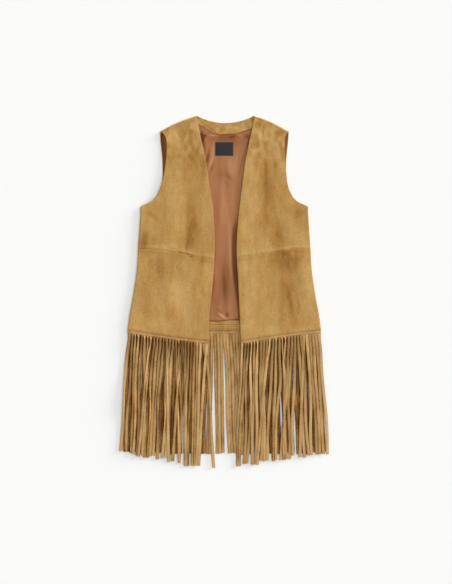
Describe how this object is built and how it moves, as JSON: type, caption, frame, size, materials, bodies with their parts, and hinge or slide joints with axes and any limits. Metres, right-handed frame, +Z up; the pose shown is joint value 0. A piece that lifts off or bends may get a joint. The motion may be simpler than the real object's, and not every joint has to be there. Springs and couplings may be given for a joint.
{
  "type": "fringe vest",
  "caption": "Sleeveless open-front suede vest laid flat, with a collarless V opening, a satin-lined back and a long cut fringe under the hem.",
  "frame": {"origin": "middle of the outline's box, on the surface that the back lies on", "axes": "+Y from hem to neck, +X to the wearer's left front, +Z up from the surface, out of the fronts"},
  "size_m": [0.5406, 0.9142, 0.0098],
  "materials": {
    "suede": "brushed suede nap",
    "suede_fringe": "brushed suede, cut edges",
    "satin_lining": "soft satin sheen",
    "woven_label": "matt woven"
  },
  "bodies": {
    "root": {"back_upper": "suede", "back_lower": "suede", "right_front_upper": "suede", "right_front_lower": "suede", "left_front_upper": "suede", "left_front_lower": "suede", "neck_facing": "suede", "hem_band": "suede", "lining": "satin_lining", "label": "woven_label", "right_front_fringe": "suede_fringe", "left_front_fringe": "suede_fringe", "back_fringe": "suede_fringe"}
  },
  "joints": []
}
